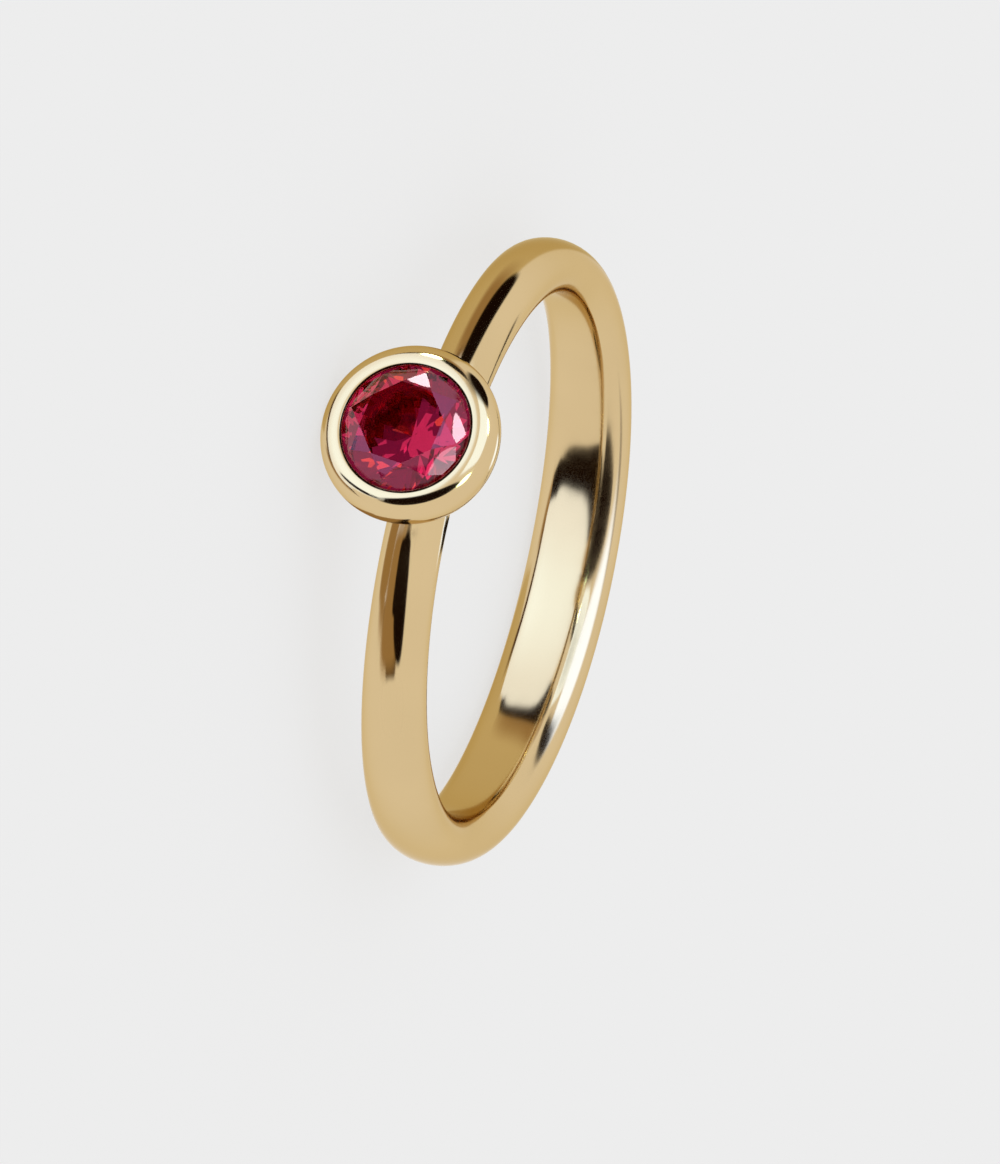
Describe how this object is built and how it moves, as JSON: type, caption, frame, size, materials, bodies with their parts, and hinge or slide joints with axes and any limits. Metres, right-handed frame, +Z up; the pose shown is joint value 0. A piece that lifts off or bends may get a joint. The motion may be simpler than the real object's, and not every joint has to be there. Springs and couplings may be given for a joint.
{
  "type": "bezel-set solitaire ring",
  "caption": "Finger ring in polished yellow gold: a round brilliant-cut red stone in a smooth cup-shaped bezel on a plain band that widens towards the back.",
  "frame": {"origin": "on the floor under the middle of the ring's bounding box, with the ring lying on its side", "axes": "+Z up; -Y from the finger hole towards the stone, which tips up by 3.1 degrees; X across the finger hole"},
  "size_m": [0.0204, 0.0236, 0.0054],
  "materials": {
    "yellow_gold": "polished",
    "red_stone": "polished facets"
  },
  "bodies": {
    "root": {"band_and_bezel": "yellow_gold", "stone": "red_stone"}
  },
  "joints": []
}
